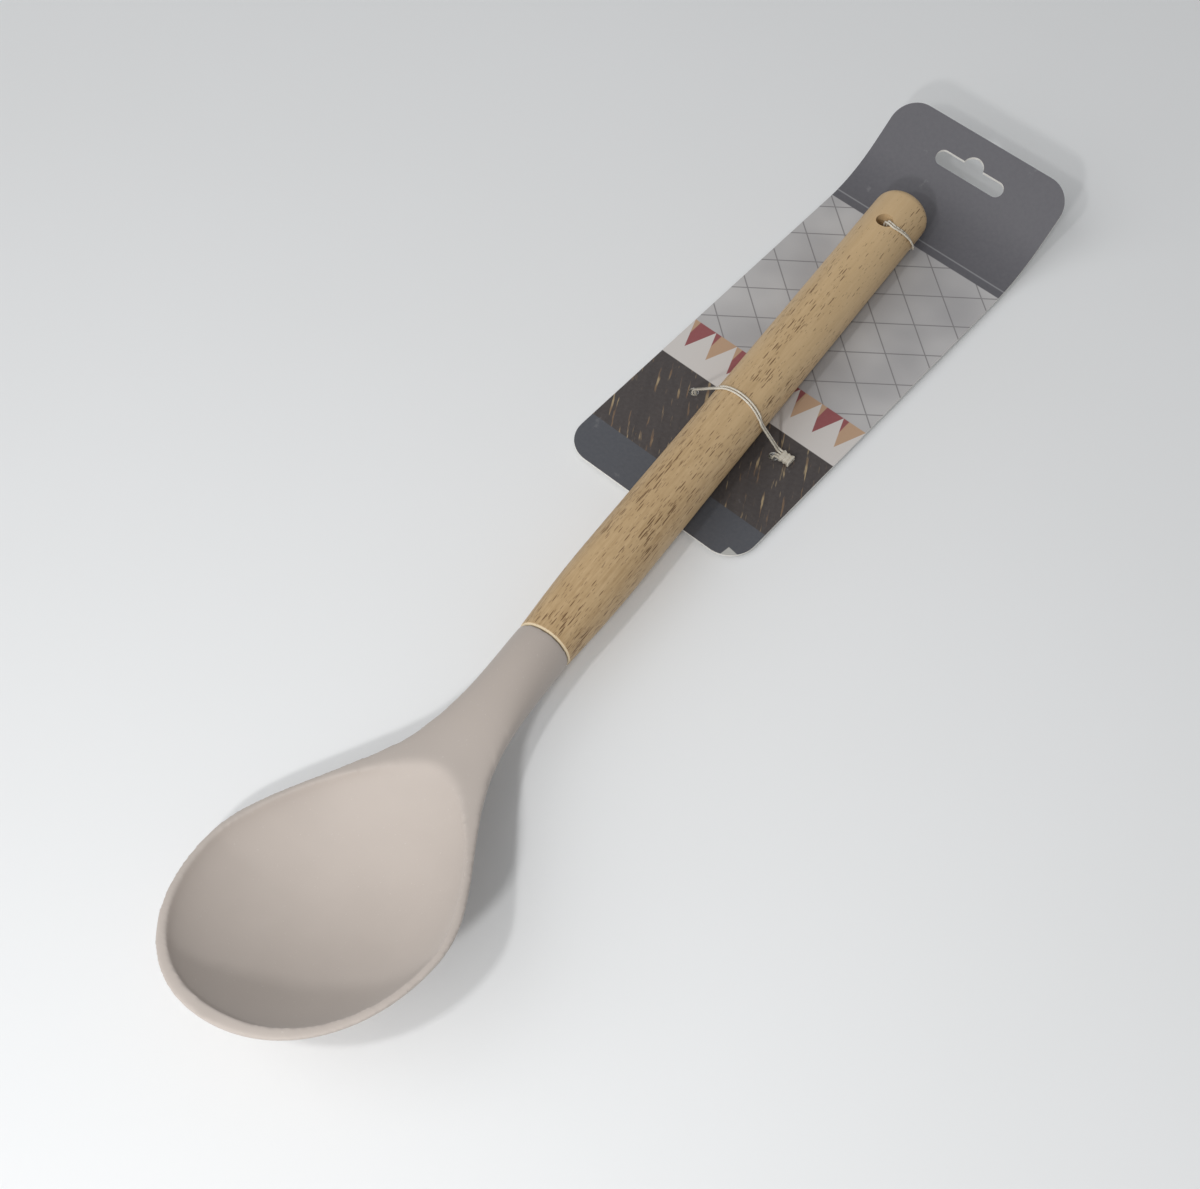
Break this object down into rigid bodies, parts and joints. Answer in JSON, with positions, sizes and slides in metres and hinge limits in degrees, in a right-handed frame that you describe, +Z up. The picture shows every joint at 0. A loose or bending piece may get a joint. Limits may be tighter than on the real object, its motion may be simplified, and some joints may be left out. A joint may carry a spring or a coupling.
{
  "type": "silicone spoon",
  "caption": "Cooking spoon with a deep silicone bowl on a stiff core, a round wooden handle with a hanging hole, and a bent paperboard card tied to the handle.",
  "frame": {"origin": "middle of the base of the whole part, on the table", "axes": "+Z up from the table, +Y along the spoon from the bowl's tip to the card's header, +X to the right seen from the bowl"},
  "size_m": [0.0802, 0.3606, 0.0352],
  "materials": {
    "silicone": "matte",
    "core_plastic": "matte",
    "wood": "satin",
    "paperboard": "satin print",
    "tie_plastic": "clear"
  },
  "bodies": {
    "spoon": {"silicone_head": "silicone", "head_core": "core_plastic", "handle": "wood"},
    "card": {"backing_card": "paperboard", "lower_tie": "tie_plastic", "lower_tie_crimp": "tie_plastic", "upper_tie": "tie_plastic", "upper_tie_crimp": "tie_plastic"}
  },
  "joints": [
    {"name": "card_swing", "type": "hinge", "parent": "spoon", "child": "card", "pos_m": [-0.00154, -0.04972, 0.01589], "axis": [0, 0.9997, -0.0228], "range_deg": [-10, 5]}
  ]
}
